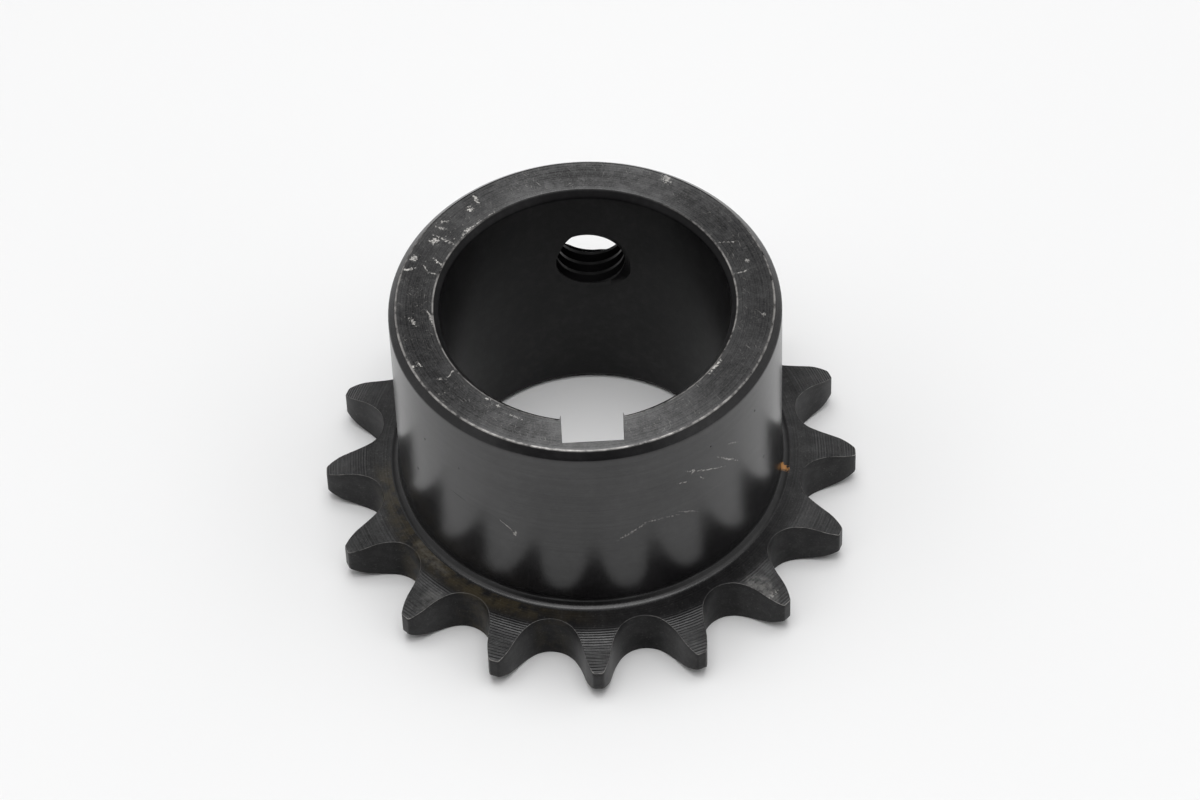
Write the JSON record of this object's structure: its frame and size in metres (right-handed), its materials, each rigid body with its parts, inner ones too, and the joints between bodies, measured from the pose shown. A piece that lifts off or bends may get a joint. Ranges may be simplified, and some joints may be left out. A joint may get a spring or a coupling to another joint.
{
  "type": "roller chain sprocket",
  "caption": "Black steel roller chain sprocket with a long hub on one side, a keyed through bore and a tapped set screw hole.",
  "frame": {"origin": "centre of the bore at the toothed end face, which the part stands on", "axes": "+Z along the bore from the toothed end towards the free end of the hub, -Y through the keyway"},
  "size_m": [0.0714, 0.0714, 0.0381],
  "materials": {
    "black_steel": "black oxide, machined, lightly worn"
  },
  "bodies": {
    "root": {"sprocket": "black_steel"}
  },
  "joints": []
}
